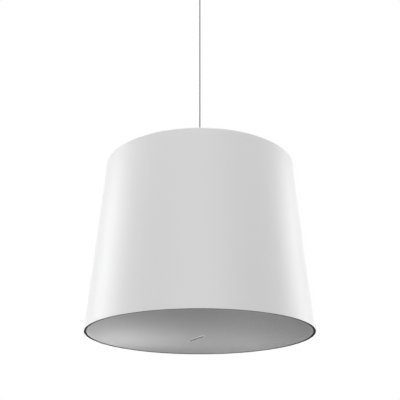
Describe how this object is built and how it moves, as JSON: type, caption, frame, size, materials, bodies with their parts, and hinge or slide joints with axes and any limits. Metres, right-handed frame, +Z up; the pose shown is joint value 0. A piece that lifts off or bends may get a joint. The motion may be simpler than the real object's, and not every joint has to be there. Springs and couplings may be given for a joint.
{
  "type": "pendant speaker",
  "caption": "Cone-shaped white pendant loudspeaker with a perforated grey grille in its mouth, hung by one wire rope from a round ceiling cup.",
  "frame": {"origin": "centre of the ceiling plate's top face, where the fitting meets the ceiling", "axes": "+Z up out of the ceiling face, +X along the ceiling plate, -Y towards the viewer of the picture"},
  "size_m": [0.4, 0.4, 0.79],
  "materials": {
    "steel": "plain zinc plated",
    "lid_white": "fine satin powder coat",
    "nickel": "satin nickel plate",
    "rope_steel": "stranded wire",
    "brass": "turned",
    "nylon_black": "moulded nylon",
    "green_plastic": "moulded",
    "shade_white": "satin",
    "aluminium_white": "white satin powder coat",
    "gasket_foam": "closed-cell foam",
    "baffle_board": "black painted fibreboard",
    "aluminium": "bright",
    "wadding_cream": "loose fibre",
    "trim_black": "matt",
    "grille_grey": "satin powder coat over perforated sheet",
    "cloth_black": "woven",
    "badge_silver": "brushed",
    "basket_black": "semi-gloss paint",
    "ferrite": "sintered ferrite",
    "paper_cone": "coated paper",
    "copper": "enamelled copper wire",
    "rubber_black": "matt",
    "spider_cloth": "resin-stiffened cloth",
    "dome_silk": "coated dome",
    "board_green": "lacquered laminate"
  },
  "bodies": {
    "ceiling_fitting": {"ceiling_plate": "steel", "canopy_cup": "lid_white", "coupler_body": "nickel", "coupler_collar": "nickel"},
    "coupler_barrel": {"coupler_barrel": "nickel"},
    "woofer_cone": {"woofer_cone": "paper_cone", "voice_coil": "copper"},
    "tweeter_dome": {"tweeter_dome": "dome_silk"},
    "release_plunger": {"release_plunger": "brass", "gripping_balls": "steel"},
    "pendant": {"rope_ball_end": "steel", "suspension_rope": "rope_steel", "rope_ferrule": "steel", "gripper_body": "nickel", "gripper_stud": "steel", "gripper_nut": "steel", "release_spring": "steel", "hanging_bridge": "steel", "bracket_screws": "steel", "bracket_nuts": "steel", "safety_lug": "steel", "cable_gland": "nylon_black", "gland_cap": "nylon_black", "gland_nut": "nylon_black", "terminal_block": "green_plastic", "shade": "shade_white", "top_plate": "aluminium_white", "top_gasket": "gasket_foam", "baffle": "baffle_board", "baffle_gasket": "gasket_foam", "tie_bars": "aluminium", "tie_bar_screws": "steel", "wadding": "wadding_cream", "trim_ring": "trim_black", "trim_screws": "steel", "grille": "grille_grey", "grille_cloth": "cloth_black", "grille_magnets": "steel", "badge": "badge_silver", "woofer_basket": "basket_black", "woofer_gasket": "gasket_foam", "woofer_screws": "steel", "woofer_washer": "steel", "woofer_magnet": "ferrite", "woofer_yoke": "steel", "woofer_surround": "rubber_black", "woofer_spider": "spider_cloth", "tweeter_pod": "nylon_black", "tweeter_bezel": "nylon_black", "tweeter_yoke": "steel", "tweeter_magnet": "steel", "tweeter_washer": "steel", "tweeter_surround": "rubber_black", "port_tubes": "nylon_black", "crossover_board": "board_green", "board_pillars": "steel", "board_coils": "copper", "board_capacitors": "nylon_black", "transformer_core": "steel", "transformer_coil": "copper"}
  },
  "joints": [
    {"name": "turn", "type": "hinge", "parent": "ceiling_fitting", "child": "coupler_barrel", "pos_m": [0, 0, -0.0519], "axis": [0, 0, 1], "continuous": true},
    {"name": "swing", "type": "hinge", "parent": "coupler_barrel", "child": "pendant", "pos_m": [0, 0, -0.0519], "axis": [0, 1, 0], "range_deg": [-12, 12]},
    {"name": "cone_travel", "type": "slide", "parent": "pendant", "child": "woofer_cone", "axis": [0, 0, -1], "range_m": [-0.0035, 0.0035], "stiffness_N_per_m": 1500, "deforming": ["woofer_surround", "woofer_spider"]},
    {"name": "tweeter_travel", "type": "slide", "parent": "pendant", "child": "tweeter_dome", "axis": [0, 0, -1], "range_m": [-0.0003, 0.0003], "stiffness_N_per_m": 500, "deforming": ["tweeter_surround"]},
    {"name": "gripper_release", "type": "slide", "parent": "pendant", "child": "release_plunger", "axis": [0, 0, -1], "range_m": [0, 0.0025], "stiffness_N_per_m": 400, "springref_m": -0.01, "deforming": ["release_spring"]}
  ]
}
